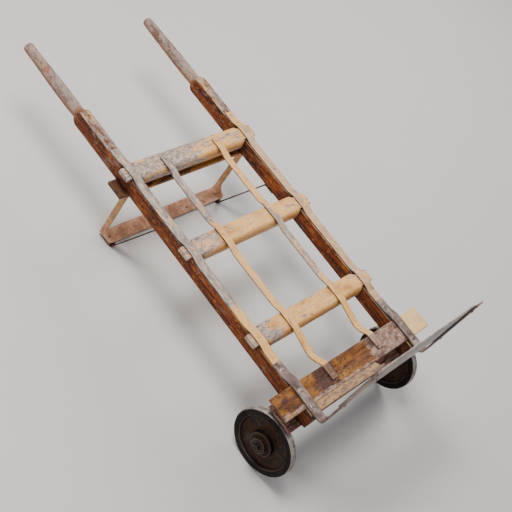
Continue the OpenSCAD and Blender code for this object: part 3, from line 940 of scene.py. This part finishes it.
def show(
    node: str, material: bpy.types.Material, soften: float, body: Body = Body.FRAME, steps: int = 2
) -> None:
    """Makes, dresses and settles the piece that stands for a CAD node.

    Args:
        node: The CAD node's name.
        material: The piece's material.
        soften: Width of the softened edges, in metres.
        body: The body that it rides on.
        steps: Number of faces across a softened edge.
    """
    piece = worked(node, soften, steps)
    dress(piece, material)
    settle(piece, body, node)


def keep(nodes: Sequence[str], material: bpy.types.Material) -> None:
    """Dresses CAD nodes that show as they are.

    Args:
        nodes: The nodes' names.
        material: Their material.
    """
    for node in nodes:
        dress(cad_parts[node], material)
        LOG.info("%s keeps its own shape", node)


class SubAssembly(Protocol):
    """A group of pieces that is built together."""

    def build(self) -> None:
        """Makes and dresses the group's pieces."""


@dataclass
class Timber:
    """The rails, the crossbars and the boards."""

    rail_softness: float = 0.0022
    bar_softness: float = 0.0018
    board_softness: float = 0.0012

    def build(self) -> None:
        """Makes and dresses every wooden piece."""
        rails = {
            "left_rail": RailTimber(),
            "right_rail": RailTimber("right_rail_timber", seed=14.0),
        }
        bars = {
            "top_crossbar": CrossbarPaint(
                "top_crossbar_paint", 31.0, scuff=0.525, grey_from=0.12, grey_to=-0.03
            ),
            "middle_crossbar": CrossbarPaint(
                "middle_crossbar_paint", 42.0, scuff=0.565, grey_from=-0.06, grey_to=-0.17
            ),
            "lower_crossbar": CrossbarPaint(
                "lower_crossbar_paint",
                53.0,
                scuff=0.572,
                grey_from=-0.12,
                grey_to=-0.19,
                rim_share=0.13,
            ),
        }
        boards = {
            "axle_board": BoardPaint(),
            "under_board": PlankPaint(
                "under_board_paint",
                61.0,
                pale=tint(160, 116, 98),
                deep=tint(100, 70, 60),
                bare=tint(64, 38, 27),
            ),
            "toe_strip": PlankPaint(
                "toe_strip_paint",
                66.0,
                pale=tint(186, 146, 100),
                deep=tint(132, 104, 92),
                bare=tint(84, 55, 42),
            ),
            "leg_crosspiece": PlankPaint(
                "crosspiece_paint",
                71.0,
                pale=tint(186, 118, 50),
                deep=tint(120, 72, 42),
                bare=tint(58, 32, 25),
                flaking=0.56,
                dark_end=-0.248,
            ),
        }
        for group, softness in (
            (rails, self.rail_softness),
            (bars, self.bar_softness),
            (boards, self.board_softness),
        ):
            for node, finish in group.items():
                show(node, finish.material(), softness)


@dataclass
class StrapIron:
    """The four straps that carry the load."""

    softness: float = 0.0006

    def build(self) -> None:
        """Makes and dresses the straps."""
        finishes = {
            "left_outer_strap": StrapPaint(
                "left_outer_strap_paint", 81.0, grey_from=-0.34, grey_to=-0.22
            ),
            "right_outer_strap": StrapPaint(
                "right_outer_strap_paint", 84.0, grey_from=0.30, grey_to=0.10, grey_share=0.5
            ),
            "left_inner_strap": StrapPaint(
                "left_inner_strap_paint", 87.0, grey_from=-0.10, grey_to=0.0
            ),
            "right_inner_strap": StrapPaint(
                "right_inner_strap_paint",
                90.0,
                grey_from=-0.02,
                grey_to=-0.12,
                grey_share=0.85,
                foot=tint(156, 130, 116),
                grey_end=-0.33,
            ),
        }
        for node, finish in finishes.items():
            show(node, finish.material(), self.softness, steps=1)


@dataclass
class ToeIron:
    """The two bent irons and the plate at the nose."""

    softness: float = 0.0011

    def build(self) -> None:
        """Makes and dresses the irons and the plate."""
        arm = RubbedIron("toe_arm_iron", 101.0).material()
        plate = RubbedIron(
            "toe_plate_iron",
            105.0,
            light=tint(158, 148, 142),
            dark=tint(122, 111, 107),
            rust_from=0.64,
        ).material()
        show("left_nose_arm", arm, self.softness)
        show("right_nose_arm", arm, self.softness)
        show("toe_plate", plate, self.softness)


@dataclass
class RearLeg:
    """The bent leg with its wide foot, and the two thin braces."""

    leg_softness: float = 0.0012
    brace_softness: float = 0.0006

    def build(self) -> None:
        """Makes and dresses the leg and its braces."""
        leg = RubbedIron(
            "leg_paint",
            111.0,
            light=tint(212, 158, 122),
            dark=tint(172, 122, 92),
            rust=tint(96, 60, 46),
            bright=tint(222, 186, 150),
            metal=0.0,
            rust_from=0.57,
            high_from=0.05,
        ).material()
        brace = RubbedIron(
            "brace_iron",
            115.0,
            light=tint(86, 60, 46),
            dark=tint(54, 38, 32),
            rust=tint(92, 56, 34),
            bright=tint(150, 112, 86),
        ).material()
        show("rear_leg", leg, self.leg_softness)
        show("left_leg_brace", brace, self.brace_softness)
        show("right_leg_brace", brace, self.brace_softness)


@dataclass
class RunningGear:
    """The wheels, the axle and what holds them."""

    softness: float = 0.0008

    def build(self) -> None:
        """Makes and dresses the wheels, the axle and its brackets."""
        dark = RubbedIron(
            "axle_iron",
            121.0,
            light=tint(52, 40, 34),
            dark=tint(28, 20, 17),
            rust=tint(64, 38, 24),
            bright=tint(130, 118, 110),
        ).material()
        keep(("axle", "left_axle_bracket", "right_axle_bracket"), dark)
        keep(("hub_washers", "cotter_pins"), dark)
        for node, body, seed in (
            ("left_wheel", Body.LEFT_WHEEL, 131.0),
            ("right_wheel", Body.RIGHT_WHEEL, 137.0),
        ):
            low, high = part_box(node)
            middle = (low + high) / 2
            radius = (high.z - low.z) / 2
            finish = WheelIron(node + "_iron", seed, (middle.y, middle.z), radius)
            show(node, finish.material(), self.softness, body)


@dataclass
class Fasteners:
    """Rivets, bolts, nuts and screws."""

    def build(self) -> None:
        """Dresses each group of fasteners."""
        dull = RubbedIron(
            "fastener_iron",
            141.0,
            light=tint(150, 129, 118),
            dark=tint(100, 82, 74),
            rust=tint(78, 48, 34),
            bright=tint(206, 192, 180),
        ).material()
        painted = StrapPaint(
            "rivet_paint",
            145.0,
            grey_from=-0.10,
            grey_to=0.0,
            grey_share=0.9,
            foot=tint(130, 104, 92),
        ).material()
        keep(("arm_bolts", "arm_nuts", "plate_rivets", "leg_screws", "foot_rivets"), dull)
        keep(("strap_rivets",), painted)


@dataclass(frozen=True)
class Lamp:
    """One soft square light.

    Attributes:
        name: The light's name.
        place: Where it hangs, in metres.
        size: Its side, in metres.
        power: Its power, in watts.
        colour: Its colour.
    """

    name: str
    place: Tuple[float, float, float]
    size: float
    power: float
    colour: Tuple[float, float, float]

    def hang(self, aim: Vector) -> None:
        """Puts the light in the studio.

        Args:
            aim: The point that it faces.
        """
        lamp = bpy.data.lights.new(self.name, "AREA")
        lamp.energy = self.power
        lamp.size = self.size
        lamp.color = self.colour
        light = bpy.data.objects.new(self.name, lamp)
        light.location = self.place
        light.rotation_euler = (aim - Vector(self.place)).to_track_quat("-Z", "Y").to_euler()
        bpy.context.scene.collection.objects.link(light)


@dataclass
class Studio:
    """The pale floor, the soft lights and the camera.

    Attributes:
        eye: Where the camera stands, in metres.
        right: The direction that lies to the right in the view.
        down: The direction that lies downwards in the view.
        forward: The direction that the camera faces.
        lens: Focal length, in millimetres.
        floor_size: Side of the floor, in metres.
        floor_drop: How far the floor lies under the wheels, in metres.
        sky_colour: Colour of the light from all round.
        sky_strength: Strength of the light from all round.
        aim: The point that every light faces, in metres.
        lamps: The lights.
    """

    eye: Tuple[float, float, float] = (-1.9966, -0.7788, 2.2216)
    right: Tuple[float, float, float] = (0.65194, -0.60010, 0.46352)
    down: Tuple[float, float, float] = (-0.31659, -0.77088, -0.55274)
    forward: Tuple[float, float, float] = (0.68902, 0.21360, -0.69255)
    lens: float = 70.85
    floor_size: float = 14.0
    floor_drop: float = 0.0005
    sky_colour: Colour = (0.92, 0.95, 1.0, 1.0)
    sky_strength: float = 0.34
    aim: Tuple[float, float, float] = (0.0, -0.1, 0.2)
    lamps: Tuple[Lamp, ...] = (
        Lamp("key", (-0.9, 0.9, 3.3), 1.4, 125.0, (1.0, 0.97, 0.93)),
        Lamp("fill", (-2.8, -2.2, 1.8), 2.4, 20.0, (0.95, 0.96, 1.0)),
        Lamp("rim", (2.6, 0.6, 2.4), 1.6, 55.0, (1.0, 0.98, 0.95)),
    )

    def build(self) -> None:
        """Sets the floor, the lights, the sky and the camera."""
        self._floor()
        self._lights()
        self._camera()

    def _floor(self) -> None:
        """Makes the plain floor, just under the wheels."""
        deselect()
        bpy.ops.mesh.primitive_plane_add(size=self.floor_size, location=(0, 0, -self.floor_drop))
        floor = bpy.context.object
        floor.name = "studio_floor"
        coat = Coat("studio_floor_paint")
        cloud = coat.noise((2, 2, 2), 3, 0.5, 3.0)
        dress(floor, coat.done(coat.mix(cloud, tint(214, 212, 208), tint(222, 220, 217)), 0.8))

    def _lights(self) -> None:
        """Sets the sky and hangs the key, fill and rim lights."""
        world = bpy.data.worlds.new("studio_sky")
        world.use_nodes = True
        sky = world.node_tree.nodes["Background"]
        sky.inputs["Color"].default_value = self.sky_colour
        sky.inputs["Strength"].default_value = self.sky_strength
        bpy.context.scene.world = world
        for lamp in self.lamps:
            lamp.hang(Vector(self.aim))

    def _camera(self) -> None:
        """Sets the camera by its three directions."""
        lens = bpy.data.cameras.new("studio_camera")
        lens.lens = self.lens
        lens.sensor_width = 36.0
        camera = bpy.data.objects.new("studio_camera", lens)
        x, y, z = Vector(self.right), -Vector(self.down), -Vector(self.forward)
        turn = Matrix((x, y, z)).transposed().to_4x4()
        camera.matrix_world = Matrix.Translation(self.eye) @ turn
        bpy.context.scene.collection.objects.link(camera)
        bpy.context.scene.camera = camera


@dataclass
class HandTruck:
    """The whole truck, sub-assembly by sub-assembly."""

    parts: List[SubAssembly] = field(
        default_factory=lambda: [
            Timber(),
            StrapIron(),
            ToeIron(),
            RearLeg(),
            RunningGear(),
            Fasteners(),
        ]
    )

    def build(self) -> None:
        """Builds each sub-assembly in turn."""
        for part in self.parts:
            LOG.info("building %s", type(part).__name__)
            part.build()


def main() -> None:
    """Builds the truck and its studio."""
    HandTruck().build()
    Studio().build()


if __name__ == "__main__":
    main()
